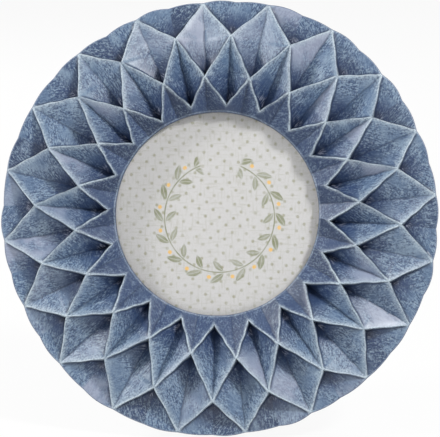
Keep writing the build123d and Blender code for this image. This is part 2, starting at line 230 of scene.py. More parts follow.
class RingSettings(bpy.types.PropertyGroup):
    """Painted ring."""
    ridge_width: length("Ridge width", "Width of the worn band along each ridge", 0.46)
    stray: length("Stray", "How far the corners of the relief stray from an even pattern", 0.7)
    wave: length("Wave", "How far ridges and creases sway between their corners", 0.15)
    swell: length("Swell", "How far a facet swells between its ridge and its crease", 0.12)
    blue: colour("Blue", "Paint on the facets", 96, 119, 147)
    # Deep blue: paint, and painted shade towards the pits and on collar facets turned from the lamps.
    deep_blue: colour("Deep blue", "Paint on the inner part of the facets", 46, 66, 102)
    light_blue: colour("Light blue", "Brush marks on the facets", 136, 156, 176)
    # Lilac is painted sheen and painted glints, standing in for reflections of the lamps.
    lilac: colour("Lilac", "Soft patches on the facets", 154, 160, 180)
    # Navy: dark wash and painted shade in the pits, grooves and creases, and painted shade on collar facets
    # turned from the lamps.
    navy: colour("Navy", "Wash in the pits, grooves and creases", 28, 43, 72)
    pale: colour("Pale", "Dry-brushed ridges", 183, 197, 207)


class PrintSettings(bpy.types.PropertyGroup):
    """Print behind the glass."""
    paper: colour("Paper", "Paper of the print", 194, 192, 192)
    dot: colour("Dot", "Printed dots", 148, 146, 122)
    leaf: colour("Leaf", "Printed leaves and stems", 116, 120, 82)
    berry: colour("Berry", "Printed berries", 228, 178, 70)
    dot_spacing: length("Dot spacing", "Distance between neighbouring dots", 3.45)
    dot_size: length("Dot size", "Diameter of a dot", 1.1)
    dot_slant: angle("Dot slant", "Slant of the rows of dots", 4.0)
    wreath_radius: length("Wreath radius", "Radius of the printed wreath", 19.0)


class BackSettings(bpy.types.PropertyGroup):
    """Easel back."""
    board: colour("Board", "Raw edge of the fibreboard", 142, 108, 74)
    fibre: colour("Fibre", "Dark fibres in the board", 92, 66, 42)
    black_paper: colour("Black paper", "Paper skin of the board and the leg", 34, 34, 36)
    worn_paper: colour("Worn paper", "Rubbed places of the paper skin", 78, 76, 74)
    card: colour("Card", "Packing card", 150, 148, 142)
    fleck: colour("Fleck", "Flecks in the card", 96, 92, 86)
    nickel: colour("Nickel", "Plated steel", 170, 166, 158)
    zinc: colour("Zinc", "Screws", 160, 164, 170)
    wire: colour("Wire", "Hinge pin", 138, 138, 140)
    tarnish: colour("Tarnish", "Dull places on the metal", 104, 98, 88)
    bevel: length("Bevel", "Softened edge of the metal pieces", 0.12)


class StageSettings(bpy.types.PropertyGroup):
    """Camera, lamps and floor."""
    azimuth: angle("Azimuth", "Turn of the camera to the right of the front", 3.9)
    elevation: angle("Elevation", "Height of the camera over the horizon", 11.5)
    distance: length("Distance", "Camera to the middle of the ring", 900)
    view_width: length("View width", "Width of the picture at the ring", 151.4)
    aim_right: length("Aim right", "Point on the face under the middle of the picture, to the right", 0.28)
    aim_down: length("Aim down", "Point on the face under the middle of the picture, downwards", 0.5)
    right: power("Right lamp", "Power of the lamp on the right", 5.7)
    left: power("Left lamp", "Power of the lamp on the left", 4.3)
    back: power("Back lamp", "Power of the lamp behind", 5.0)
    low: power("Low lamp", "Power of the lamp on the floor in front", 0.05)
    fill: FloatProperty(name="Surround", description="Strength of the light from all round", default=0.2)
    floor: colour("Floor", "Pale floor", 236, 236, 234)


class PhotoFrameSettings(bpy.types.PropertyGroup):
    """Everything about the photo frame that a user would change."""
    ring: PointerProperty(type=RingSettings)
    printed: PointerProperty(type=PrintSettings)
    back: PointerProperty(type=BackSettings)
    stage: PointerProperty(type=StageSettings)


class NodeBench:
    """Adds and links shader nodes in one tree."""

    def __init__(self, tree):
        self.tree = tree

    def feed(self, socket, value):
        """Links an output to a socket, or sets the socket's own value."""
        if isinstance(value, bpy.types.NodeSocket):
            self.tree.links.new(value, socket)
        else:
            socket.default_value = value

    def add(self, kind, inputs=(), **settings):
        """New node with its settings and inputs."""
        node = self.tree.nodes.new(kind)
        for name, value in settings.items():
            setattr(node, name, value)
        for key, value in dict(inputs).items():
            self.feed(node.inputs[key], value)
        return node

    def math(self, operation, *values):
        """Result of a math node."""
        return self.add("ShaderNodeMath", enumerate(values), operation=operation).outputs[0]

    def vector(self, operation, *values):
        """Vector result of a vector math node."""
        return self.add("ShaderNodeVectorMath", enumerate(values), operation=operation).outputs["Vector"]

    def dot(self, first, second):
        """Dot product of two vectors."""
        node = self.add("ShaderNodeVectorMath", {0: first, 1: second}, operation="DOT_PRODUCT")
        return node.outputs["Value"]

    def blend(self, first, first_share, second, second_share):
        """Weighted sum of two values."""
        return self.math("MULTIPLY_ADD", first, first_share, self.product(second, second_share))

    def reach(self, right, up):
        """Length of a way to the right and up."""
        return self.math("SQRT", self.math("MULTIPLY_ADD", right, right, self.product(up, up)))

    def product(self, first, *others):
        """All the values multiplied."""
        for other in others:
            first = self.math("MULTIPLY", first, other)
        return first

    def ease(self, value, low, high, start=0.0, end=1.0):
        """Value eased from one range to another."""
        inputs = {"Value": value, "From Min": low, "From Max": high, "To Min": start, "To Max": end}
        return self.add("ShaderNodeMapRange", inputs, interpolation_type="SMOOTHSTEP").outputs["Result"]

    def mix(self, share, first, second):
        """Colour between two colours."""
        return self.add("ShaderNodeMix", {0: share, 6: first, 7: second}, data_type="RGBA").outputs[2]

    def noise(self, vector, scale, detail=3.0, roughness=0.55):
        """Noise value over a vector."""
        inputs = {"Vector": vector, "Scale": scale, "Detail": detail, "Roughness": roughness}
        return self.add("ShaderNodeTexNoise", inputs).outputs["Fac"]

    def attribute(self, name, output="Fac"):
        """Value stored on the mesh."""
        return self.add("ShaderNodeAttribute", attribute_name=name).outputs[output]

    def show(self, kind, share, first, second):
        """Output node with a mix of two shaders."""
        mixed = self.add("ShaderNodeMixShader", {0: share, 1: first.outputs[0], 2: second.outputs[0]})
        self.add(kind, {"Surface": mixed.outputs[0]})

    def place(self):
        """Point on the object, in metres."""
        return self.add("ShaderNodeTexCoord").outputs["Object"]


def empty_bench(owner):
    """Bench on the emptied node tree of a material or a world."""
    owner.use_nodes = True
    owner.node_tree.nodes.clear()
    return NodeBench(owner.node_tree)


def new_material(name):
    """Empty material and its bench."""
    material = bpy.data.materials.new(name)
    return material, empty_bench(material)


def new_group(name, label, kind, default, outputs):
    """Node group with a place and one more input and with float outputs, its bench, and its ends."""
    tree = bpy.data.node_groups.new(name, "ShaderNodeTree")
    tree.interface.new_socket("Place", in_out="INPUT", socket_type="NodeSocketVector")
    tree.interface.new_socket(label, in_out="INPUT", socket_type=kind).default_value = default
    for output in outputs:
        tree.interface.new_socket(output, in_out="OUTPUT", socket_type="NodeSocketFloat")
    bench = NodeBench(tree)
    return tree, bench, bench.add("NodeGroupInput").outputs, bench.add("NodeGroupOutput").inputs


def surface_grain(bench, fineness):
    """Fine and coarse grain of a cast, pressed or coated surface."""
    tree = bpy.data.node_groups.get("surface_grain")
    if not tree:
        tree, inner, given, out = new_group("surface_grain", "Fineness", "NodeSocketFloat", 1500.0,
                                            ("Fine", "Coarse"))
        inner.feed(out["Fine"], inner.noise(given["Place"], given["Fineness"], 4.0, 0.6))
        inner.feed(out["Coarse"], inner.noise(given["Place"], inner.product(given["Fineness"], 0.09)))
    return bench.add("ShaderNodeGroup", {0: bench.place(), 1: fineness}, node_tree=tree).outputs


def steel_marks(bench, stretch):
    """Drawn lines and finger smudges of plated steel."""
    tree = bpy.data.node_groups.get("plated_steel_marks")
    if not tree:
        tree, inner, given, out = new_group("plated_steel_marks", "Stretch", "NodeSocketVector",
                                            (300.0, 9000.0, 9000.0), ("Lines", "Smudge"))
        stretched = inner.vector("MULTIPLY", given["Place"], given["Stretch"])
        inner.feed(out["Lines"], inner.noise(stretched, 1.0, 2.0))
        inner.feed(out["Smudge"], inner.ease(inner.noise(given["Place"], 160.0, 3.0), 0.35, 0.7))
    return bench.add("ShaderNodeGroup", {0: bench.place(), 1: stretch}, node_tree=tree).outputs


def coat(bench, tone, roughness, height, depth, metallic=0.0):
    """Surface with a colour, a roughness and a bump of a depth in millimetres."""
    bump = bench.add("ShaderNodeBump", {"Height": height, "Distance": depth * MM, "Strength": 1.0})
    shader = bench.add("ShaderNodeBsdfPrincipled", {
        "Base Color": tone, "Roughness": roughness, "Metallic": metallic, "Normal": bump.outputs["Normal"]})
    bench.add("ShaderNodeOutputMaterial", {"Surface": shader.outputs[0]})


def painted_resin(ring):
    """Blue paint dry-brushed pale on the ridges, with painted sheen, glints, light and shade and a navy wash
    in the hollows.
    """
    material, bench = new_material("painted_resin")
    ridge_gap, fold_gap, groove, pit_gap = (bench.attribute(name) for name in PAINT_LAYERS)
    run = bench.attribute("petal_run", "Vector")
    fine, coarse = surface_grain(bench, 1600.0)

    brush = bench.noise(bench.vector("MULTIPLY", run, (0.65, 2.3, 31.0)), 1.0, 2.0, 0.6)
    cloud = bench.noise(bench.vector("MULTIPLY", run, (0.13, 0.16, 17.0)), 1.0, 2.0)
    facet_tone_and_shade = bench.dot(run, (0, 0, 1))
    streaky = bench.ease(coarse, 0.36, 0.54, 0.3, 1.0)
    lifted = bench.product(streaky, bench.ease(pit_gap, 0.8, 2.2, 0.5, 1.0))
    patch = bench.product(bench.ease(cloud, 0.46, 0.70, 0.0, 0.7), bench.ease(pit_gap, 1.2, 2.6))
    # Painted sheen: pale lilac on the lightest facets, standing in for the lamps' reflection on satin paint.
    wear_and_sheen = bench.product(bench.ease(facet_tone_and_shade, 0.6, 0.95, 0.0, 0.75), bench.ease(pit_gap, 1.0, 2.8),
                           bench.ease(cloud, 0.32, 0.56, 0.2, 1.0))
    # Navy along the creases: dark wash and painted shade in the valley folds.
    fold_wash_and_shade = bench.product(bench.ease(fold_gap, 0.6, 0.05, 0.0, 0.6), bench.ease(brush, 0.3, 0.6))
    # Navy at the pits: dark wash and painted shade of the deep hollows.
    pit_wash_and_shade = bench.ease(bench.math("ADD", pit_gap, bench.product(brush, 0.6)), 1.4, 0.6)
    # Painted glint: small pale lilac highlights near the pit corners, standing in for the lamps' reflection
    # in the hollows.
    glint = bench.product(bench.ease(pit_gap, 0.9, 0.5), bench.ease(groove, 0.3, 0.0),
                          bench.ease(cloud, 0.46, 0.58), bench.ease(brush, 0.45, 0.60, 0.0, 0.8))
    scuff = bench.product(bench.ease(ridge_gap, 11.0, 1.0), bench.ease(fine, 0.38, 0.64, 0.2, 0.5))
    worn = bench.product(bench.ease(fine, 0.36, 0.53, 0.3, 1.0), bench.ease(coarse, 0.36, 0.56, 0.4, 1.0))

    # Deep blue towards the pits: painted shade of the hollows over the blue of the paint.
    from_pit = bench.math("ADD", pit_gap, bench.product(cloud, 1.2))
    tone = bench.mix(bench.ease(from_pit, 1.6, 3.2), ring.deep_blue, ring.blue)
    for share, paint in (
            # Facets with a low value darken: random tone in the outer rows, painted shade on the collar
            # facets turned away from the lamps.
            (bench.ease(facet_tone_and_shade, 0.3, -0.4, 0.0, 0.9), ring.deep_blue),
            (bench.ease(facet_tone_and_shade, 0.1, -0.3, 0.0, 0.7), ring.navy),
            (patch, ring.light_blue),
            (bench.product(bench.ease(brush, 0.49, 0.41, 0.0, 0.75), streaky), ring.deep_blue),
            (bench.product(bench.ease(brush, 0.52, 0.60, 0.0, 0.7), lifted), ring.light_blue),
            (bench.product(bench.ease(fine, 0.46, 0.40, 0.0, 0.6), streaky), ring.navy),
            (bench.product(bench.ease(fine, 0.53, 0.61, 0.0, 0.28), lifted), ring.pale),
            (wear_and_sheen, ring.lilac),
            (fold_wash_and_shade, ring.navy),
            # Navy in the grooves and pits: dark wash with painted shade.
            (bench.math("MAXIMUM", bench.product(groove, 0.75), pit_wash_and_shade), ring.navy),
            (glint, ring.lilac),
            (scuff, ring.pale),
            (bench.product(bench.ease(ridge_gap, 1.9, 0.7), worn), ring.pale)):
        tone = bench.mix(share, tone, paint)
    shine = bench.ease(coarse, 0.3, 0.7, 0.36, 0.50)
    coat(bench, tone, shine, bench.blend(brush, 0.5, fine, 0.5), 0.05)
    return material


def face_place(bench):
    """Distances to the right and up the face from its middle, in millimetres."""
    from_face = face_to_world()
    offset = bench.vector("SUBTRACT", bench.place(), from_face.translation)
    return [bench.dot(offset, from_face.col[n].xyz / MM ** 2) for n in (0, 1)]


def dot_rows(bench, printed, right, up):
    """Mask of staggered rows of dots."""
    slant = math.radians(45) - printed.dot_slant
    spacing = printed.dot_spacing / MM

    def from_dot(value):
        share = bench.math("DIVIDE", value, spacing)
        return bench.math("SUBTRACT", share, bench.math("ROUND", share))

    across = from_dot(bench.blend(right, math.cos(slant), up, math.sin(slant)))
    along = from_dot(bench.blend(up, math.cos(slant), right, -math.sin(slant)))
    edge = printed.dot_size / printed.dot_spacing / 2
    return bench.ease(bench.reach(across, along), 1.35 * edge, 0.65 * edge)


def leaf_wreath(bench, printed, right, up):
    """Masks of the leaves and stem and of the berries of an open wreath."""
    radius = printed.wreath_radius / MM
    way = bench.math("ARCTAN2", right, up)
    share = bench.product(way, WREATH_LEAVES / math.tau)
    step = bench.math("SUBTRACT", share, bench.math("ROUND", share))
    along = bench.product(step, math.tau * radius / WREATH_LEAVES)
    out = bench.math("SUBTRACT", bench.reach(right, up), radius)
    side = bench.math("ABSOLUTE", out)
    start = bench.math("ADD", along, LEAF_START)
    lean = math.radians(LEAF_LEAN)
    leaf_run = bench.blend(start, math.cos(lean), side, math.sin(lean))
    leaf_side = bench.math("ABSOLUTE", bench.blend(side, math.cos(lean), start, -math.sin(lean)))
    from_middle = bench.math("DIVIDE", bench.math("SUBTRACT", leaf_run, LEAF_MIDDLE), LEAF_REACH)
    squared = bench.product(from_middle, from_middle)
    half_width = bench.math("MULTIPLY_ADD", squared, -LEAF_WIDTH, LEAF_WIDTH)
    leaf = bench.ease(bench.math("SUBTRACT", leaf_side, half_width), 0.12, -0.12)
    vein = bench.ease(leaf_side, 0.05, 0.20, 0.45, 1.0)
    stem = bench.ease(side, *STEM_EDGE)
    green = bench.math("MAXIMUM", bench.product(leaf, vein), stem)
    from_berry = bench.reach(bench.math("SUBTRACT", along, BERRY_ALONG),
                             bench.math("SUBTRACT", out, BERRY_OUT))
    berry = bench.ease(from_berry, *BERRY_EDGE)
    open_top = bench.ease(bench.math("ABSOLUTE", way), *WREATH_OPENING)
    return bench.product(green, open_top), bench.product(berry, open_top)


def printed_paper(printed):
    """Off-white linen paper with rows of dots and an open leaf wreath."""
    material, bench = new_material("printed_paper")
    right, up = face_place(bench)
    fine, coarse = surface_grain(bench, 2600.0)
    soft = bench.ease(fine, 0.3, 0.7, 0.7, 1.0)
    sheet = bench.add("ShaderNodeCombineXYZ", {0: right, 1: up}).outputs[0]
    threads = [bench.noise(bench.vector("MULTIPLY", sheet, stretch), 1.0, 1.0) for stretch in THREAD_STRETCH]
    weave = bench.ease(bench.math("MINIMUM", *threads), 0.46, 0.30, 0.0, 0.28)
    tone = bench.mix(weave, printed.paper, printed.dot)
    uneven = bench.ease(coarse, 0.38, 0.60, 0.6, 1.0)
    tone = bench.mix(bench.product(dot_rows(bench, printed, right, up), soft, uneven), tone, printed.dot)
    green, berry = leaf_wreath(bench, printed, right, up)
    inked = bench.ease(coarse, 0.3, 0.7, 0.55, 1.0)
    tone = bench.mix(bench.product(green, inked), tone, printed.leaf)
    tone = bench.mix(bench.product(berry, soft), tone, printed.berry)
    coat(bench, tone, bench.ease(coarse, 0.3, 0.7, 0.55, 0.7), fine, 0.02)
    return material


def clear_glass():
    """Clear pane with faint smears that lets the lamps through."""
    material, bench = new_material("clear_glass")
    _, smear = surface_grain(bench, 900.0)
    glass = bench.add("ShaderNodeBsdfPrincipled", {
        "Base Color": (0.98, 0.99, 0.985, 1), "Roughness": bench.ease(smear, 0.45, 0.75, 0.0, 0.012),
        "IOR": 1.5, "Transmission Weight": 1.0})
    path = bench.add("ShaderNodeLightPath").outputs
    lets_through = bench.math("MAXIMUM", path["Is Shadow Ray"], path["Is Diffuse Ray"])
    clear = bench.add("ShaderNodeBsdfTransparent")
    bench.show("ShaderNodeOutputMaterial", lets_through, glass, clear)
    return material


def fibre_sheet(name, base, fibre, stretch, roughness):
    """Pressed board or card with darker fibres."""
    material, bench = new_material(name)
    fine, coarse = surface_grain(bench, 1900.0)
    strands = bench.noise(bench.vector("MULTIPLY", bench.place(), stretch), 1.0, 4.0, 0.7)
    tone = bench.mix(bench.ease(strands, 0.50, 0.72, 0.0, 0.85), base, fibre)
    tone = bench.mix(bench.ease(fine, 0.48, 0.30, 0.0, 0.4), tone, fibre)
    matt = bench.ease(coarse, 0.3, 0.7, roughness, roughness + 0.12)
    coat(bench, tone, matt, bench.blend(strands, 0.6, fine, 0.4), 0.10)
    return material


def black_paper(back):
    """Black paper skin with a fine pressed grain and worn places."""
    material, bench = new_material("black_paper")
    fine, coarse = surface_grain(bench, 1300.0)
    cells = bench.add("ShaderNodeTexVoronoi", {"Vector": bench.place(), "Scale": 1400.0}).outputs["Distance"]
    wear_and_sheen = bench.product(bench.ease(coarse, 0.52, 0.72), bench.ease(fine, 0.48, 0.64, 0.0, 0.7))
    tone = bench.mix(wear_and_sheen, back.black_paper, back.worn_paper)
    tone = bench.mix(bench.ease(cells, 0.5, 0.1, 0.0, 0.25), tone, back.worn_paper)
    matt = bench.ease(coarse, 0.3, 0.7, 0.62, 0.80)
    coat(bench, tone, matt, bench.blend(cells, -0.7, fine, 0.3), 0.12)
    return material


def plated_metal(name, base, tarnish, stretch, roughness):
    """Plated steel with drawn lines and dull places."""
    material, bench = new_material(name)
    lines, smudge = steel_marks(bench, stretch)
    tone = bench.mix(bench.product(smudge, 0.45), base, tarnish)
    shine = bench.blend(smudge, 0.14, lines, 0.16)
    coat(bench, tone, bench.math("ADD", shine, roughness), lines, 0.02, metallic=1.0)
    return material


def polar(radius, turn, level):
    """Points on the face at radii, turns and levels."""
    way = np.radians(turn)
    return np.stack(np.broadcast_arrays(radius * np.sin(way), radius * np.cos(way), level), axis=-1)


def turn_of(points):
    """Turns of points around the middle."""
    return np.degrees(np.arctan2(points[..., 0], points[..., 1]))


def opening(radius, turn, level):
    """Points around the opening, which sits a little off the middle."""
    return polar(radius, turn, level) + (*OPENING_OFFSET, 0)


def ease(share):
    """Smooth step from 0 to 1."""
    return share * share * (3 - 2 * share)


def out_of_round(turn):
    """How far the rim lies inside its true circle at a turn."""
    return OUT_OF_ROUND * (1 - np.cos(np.radians(4 * (turn - OUT_OF_ROUND_TURN)))) / 2


def corner_ring(radius, level, turns, stray, chance, offset=(0.0, 0.0)):
    """One ring of corners of the relief, each a little off its even place."""
    off = chance.uniform(-stray, stray, (3, PETALS))
    drift = TURN_DRIFT * np.cos(np.radians(turns))
    turned = turns + drift + np.degrees(off[1] / radius)
    return polar(radius + off[0], turned, level + 0.5 * off[2]) + (*offset, 0)


def lines_between(starts, ends, steps, wave, chance):
    """Lines from one ring of corners to the next, each swaying a little on its way."""
    share = np.linspace(0, 1, steps + 1)[None, :, None]
    way = (ends - starts)[:, None]
    across = np.cross(way, (0, 0, 1))
    across /= np.linalg.norm(across, axis=-1, keepdims=True)
    phase, count = chance.uniform(0, 1, (PETALS, 1, 1)), chance.uniform(0.8, 2.2, (PETALS, 1, 1))
    sway = wave * np.sin(np.pi * share) * np.sin(2 * np.pi * (count * share + phase))
    return starts[:, None] + way * share + across * sway


def joined(first, second):
    """Two lines end to end."""
    return np.concatenate([first, second[:, 1:]], axis=1)


class PetalMesh:
    """Points, faces and paint values of the ring, gathered from grids of points."""

    def __init__(self):
        self.points, self.faces, self.values = [], [], []
        self.count = 0

    def add_grid(self, grid, values=None, closed=False):
        """Adds a (rows, columns, 3) grid and its (rows, columns, 7) paint values."""
        rows, columns = grid.shape[:2]
        index = self.count + np.arange(rows * columns).reshape(rows, columns)
        if closed:
            index = np.concatenate([index, index[:, :1]], axis=1)
        corners = (index[:-1, :-1], index[1:, :-1], index[1:, 1:], index[:-1, 1:])
        self.faces.append(np.stack(corners, axis=-1).reshape(-1, 4))
        self.points.append(grid.reshape(-1, 3))
        if values is None:
            values = np.zeros((rows, columns, 7))
        self.values.append(values.reshape(-1, 7))
        self.count += rows * columns

    def welded(self):
        """Points without doubles, faces without doubled corners, and the paint values."""
        points = np.concatenate(self.points)
        key = np.round(points * WELD_PARTS).astype(np.int64)
        _, first, place = np.unique(key, axis=0, return_index=True, return_inverse=True)
        faces = place.reshape(-1)[np.concatenate(self.faces)]
        kept = []
        for face in faces.tolist():
            corners = list(dict.fromkeys(face))
            if len(corners) > 2:
                kept.append(corners)
        return points[first], kept, np.concatenate(self.values)[first]


def half_petals(ridge, crease, wall, foot_level, band_width, swell):
    """Points across twenty half petals, from the ridge over its band and wall and down the facet."""
    span = crease[..., :2] - ridge[..., :2]
    reach = np.linalg.norm(span, axis=-1, keepdims=True)
    band = np.minimum(band_width, WIDEST_BAND * reach)
    run = np.minimum(np.maximum(wall * PIT_OFFSET - band, LEAST_WALL_RUN), reach - band)
    foot = band + run
    band_share = np.arange(BAND_STEPS + 1) / BAND_STEPS
    wall_share = np.arange(1, WALL_STEPS + 1) / WALL_STEPS
    facet_share = np.arange(1, FACET_STEPS + 1) / FACET_STEPS
    gap = np.concatenate([band * band_share, band + run * wall_share, foot + (reach - foot) * facet_share],
                         axis=-1)

    top, bottom = ridge[..., 2:], crease[..., 2:]
    slope = (bottom - top) / reach
    foot_height = np.minimum(foot_level, top + slope * foot)
    edge_height = np.maximum(top + slope * band - RIDGE_CROWN, foot_height)
    band_heights = top + (edge_height - top) * band_share ** 2
    wall_heights = edge_height + (foot_height - edge_height) * ease(wall_share)
    fall = bottom - foot_height
    along = np.linspace(0, 1, ridge.shape[1])[None, :, None]
    bulge = swell * 4 * facet_share * (1 - facet_share) * np.sin(np.pi * along)
    from_fold = (reach - foot) * (1 - facet_share)
    steepness = -fall / np.maximum(reach - foot, 0.2)
    valley = np.clip(steepness, 0, 2) * np.maximum(VALLEY_ROUND - from_fold, 0) ** 2 / (2 * VALLEY_ROUND)
    valley *= np.minimum(1, (reach - foot) / (2 * VALLEY_ROUND))
    facet_heights = foot_height + fall * facet_share + bulge + valley
    heights = np.concatenate([band_heights, wall_heights, facet_heights], axis=-1)

    flat = ridge[..., None, :2] + span[..., None, :] * (gap / np.maximum(reach, 1e-6))[..., None]
    return np.concatenate([flat, heights[..., None]], axis=-1), gap, reach, foot


def band_widths(ridge, breaks, half_width):
    """Half width of the worn band along a ridge, spreading where ridges cross."""
    spread = 0
    for n in breaks:
        away = np.linalg.norm(ridge - ridge[:, n:n + 1], axis=-1, keepdims=True)
        spread = np.maximum(spread, np.exp(-(away / CROSSING_REACH) ** 2))
    return half_width * (1 + CROSSING_SPREAD * spread)


def build_relief(ring):
    """Mesh of the whole ring in face millimetres."""
    chance = np.random.default_rng(RELIEF_SEED)
    stray, wave, swell = ring.stray / MM, ring.wave / MM, ring.swell / MM
    half_band = ring.ridge_width / MM / 2
    turns = FIRST_TURN + STEP * np.arange(PETALS)
    between = turns + STEP / 2

    tips = corner_ring(TIP_RADIUS - out_of_round(turns), TIP_LEVEL, turns, 0.5 * stray, chance)
    ridges = corner_ring(RIDGE_RADIUS, RIDGE_LEVEL, between, stray, chance)
    crests = corner_ring(CREST_RADIUS, CREST_LEVEL, turns, stray, chance)
    collars = corner_ring(COLLAR_RADIUS, COLLAR_LEVEL, between, 0.6 * stray, chance, COLLAR_OFFSET)
    rims = corner_ring(TIP_RADIUS - out_of_round(between), RIM_CREASE_LEVEL, between, 0.5 * stray, chance)

    def pit(corners, level):
        radius = np.linalg.norm(corners[:, :2], axis=1, keepdims=True)
        flat = corners[:, :2] * (1 + PIT_OFFSET / radius)
        return np.concatenate([flat, np.full((PETALS, 1), level)], axis=1)

    ridge_pits = pit(ridges, RIDGE_PIT_LEVEL)
    crest_pits = pit(crests, CREST_PIT_LEVEL)
    collar_pits = pit(collars, COLLAR_PIT_LEVEL)

    def before(corners):
        return np.roll(corners, 1, axis=0)

    def after(corners):
        return np.roll(corners, -1, axis=0)

    def on_lip(corners, level):
        return opening(OPENING_RADIUS + LIP_ROUND, turn_of(corners), level)

    def ridge_lines(starts, ends):
        return lines_between(starts, ends, RIDGE_STEPS, wave, chance)

    tip_ridge, tip_last = ridge_lines(tips, ridges), ridge_lines(tips, before(ridges))
    ridge_crest, ridge_next = ridge_lines(ridges, crests), ridge_lines(ridges, after(crests))
    crest_collar, crest_last = ridge_lines(crests, collars), ridge_lines(crests, before(collars))
    collar_lip = lines_between(collars, on_lip(collars, LIP_LEVEL + LIP_FOLD), LIP_STEPS, 0, chance)

    def crease_lines(starts, sides, ends, last_steps):
        """Creases that pass the side corners halfway along."""
        way = ends - starts
        inset = starts + way * (CREASE_START / np.linalg.norm(way[:, :2], axis=1, keepdims=True))
        share = np.sum((sides - starts) * way, axis=1) / np.sum(way * way, axis=1)
        middle = starts + way * np.clip(share, *CREASE_MIDDLE)[:, None]
        return joined(ridge_lines(inset, middle), lines_between(middle, ends, last_steps, wave, chance))

    rim_creases = ridge_lines(rims, ridge_pits)
    tip_creases = crease_lines(tips, (ridges + before(ridges)) / 2, crest_pits, RIDGE_STEPS)
    ridge_creases = crease_lines(ridges, (crests + after(crests)) / 2, collar_pits, RIDGE_STEPS)
    crest_creases = crease_lines(crests, (collars + before(collars)) / 2,
                                 on_lip(crests, LIP_LEVEL - LIP_FOLD), LIP_STEPS)

    rise = np.linspace(0, 1, RIDGE_STEPS + 1)
    mesh = PetalMesh()
    darkest, lightest = np.array(TONE_RANGES).T[..., None, None]
    facet_tones_and_shades = np.random.default_rng(PAINT_SEED).uniform(darkest, lightest, (4, 2, PETALS))
    looks_to = turns + np.array((90, -90))[:, None]
    # The collar's facets get painted light where they turn towards the lamp side and painted shade where they
    # turn away; the outer rows keep a random tone per facet.
    facet_tones_and_shades[3] = 0.5 + COLLAR_PAINTED_SHADING * np.cos(np.radians(looks_to - PAINTED_LIGHT_TURN))
    hatch = np.radians(chance.uniform(-HATCH_ANGLE, HATCH_ANGLE, (4, 2, PETALS, 1, 1)))

    def add_half(row, side, ridge, crease, wall, foot_level, breaks, pits, bend=None):
        """Adds twenty half petals of a row with their paint values."""
        wall = wall[None, :, None]
        widths = band_widths(ridge, breaks, half_band)
        grid, gap, reach, foot = half_petals(ridge, crease, wall, foot_level[..., None], widths, swell)
        if bend is not None:
            grid = bend(grid)
        ridge_gap = gap / widths
        beside_wall = (wall > WALL_SHOWS) & (ridge_gap > 1)
        ridge_gap = np.where(beside_wall, WALL_STOP * ridge_gap - (WALL_STOP - 1), ridge_gap)
        fold_gap = reach - gap
        if bend is lip_circle:
            ridge_gap[:, RIDGE_STEPS:] += np.arange(ridge.shape[1] - RIDGE_STEPS)[None, :, None]
            from_lip = np.linalg.norm(grid[..., :2] - OPENING_OFFSET, axis=-1) - OPENING_RADIUS - LIP_ROUND
            ridge_gap = np.minimum(COLLAR_STOP * ridge_gap - (COLLAR_STOP - 1),
                                   LIP_START + LIP_STOP * from_lip / half_band)
        # Groove: dark band at the foot of each wall, a navy wash with painted shade under the ridge.
        groove = np.clip(1 - (gap - foot) / GROOVE_FADE, 0, 1)
        groove = groove * np.minimum(wall / WALL_FULL, 1) * (gap > 0.9 * widths)
        pit_gap = np.full(gap.shape, COLLAR_PIT_GAP)
        if pits is not None:
            pit_gap = np.linalg.norm(grid[..., :2] - pits[:, None, None, :2], axis=-1) / PIT_REACH[row]
        distance = np.linalg.norm(np.diff(crease, axis=1), axis=-1)
        along = np.concatenate([np.zeros((PETALS, 1)), np.cumsum(distance, axis=1)], axis=1)
        along = np.broadcast_to(along[..., None], gap.shape)
        chosen = np.broadcast_to(facet_tones_and_shades[row, side][:, None, None], gap.shape)
        across = fold_gap * (1 if side else -1)
        slant = hatch[row, side]
        along, across = (along * np.cos(slant) + across * np.sin(slant),
                         across * np.cos(slant) - along * np.sin(slant))
        # The outer row's creases get no wash or painted shade.
        shaded_fold_gap = fold_gap if row else np.full(gap.shape, FAR)
        values = np.stack([ridge_gap, shaded_fold_gap, groove, pit_gap, along, across, chosen], axis=-1)
        for n in range(PETALS):
            mesh.add_grid(grid[n], values[n])
        return grid

    def bent_onto(grid, line, wanted, decay):
        """Grid with its first or last line on a wanted outline."""
        moved = grid.copy()
        moved[..., :2] += (wanted - grid[:, line, :, :2])[:, None] * decay[None, :, None, None]
        return moved

    def scallop(height):
        """Bends the outer edge of a half petal into a lobe of the rim."""
        def bend(grid):
            edge = grid[:, 0]
            ends = np.linalg.norm(edge[:, [0, -1], :2], axis=-1)
            way = np.unwrap(np.arctan2(edge[..., 0], edge[..., 1]), axis=1)
            part = (way - way[:, :1]) / (way[:, -1:] - way[:, :1])
            radius = ends[:, :1] + (ends[:, 1:] - ends[:, :1]) * part + height[:, None] * np.sin(np.pi * part)
            return bent_onto(grid, 0, polar(radius, np.degrees(way), 0.0)[..., :2], (1 - rise) ** 3)
        return bend

    def lip_circle(grid):
        """Bends the inner edge of a half petal onto the opening."""
        way = turn_of(grid[:, -1, :, :2] - OPENING_OFFSET)
        wanted = opening(OPENING_RADIUS + LIP_ROUND, way, 0.0)[..., :2]
        return bent_onto(grid, -1, wanted, np.linspace(0, 1, grid.shape[1]) ** 4)

    def falling(starts, pits):
        """Level of the foot of a wall that runs from a corner down to a pit."""
        return starts[:, 2:] + (pits[:, 2:] - starts[:, 2:]) * rise[None, :]

    both = np.concatenate([np.zeros(RIDGE_STEPS + 1), rise[1:]])
    open_foot = np.full((PETALS, RIDGE_STEPS + 1), np.inf)

    def with_wall(starts, pits):
        """Levels of the foot along a ridge whose wall starts at its middle corner."""
        return np.concatenate([open_foot, falling(starts, pits)[:, 1:]], axis=1)

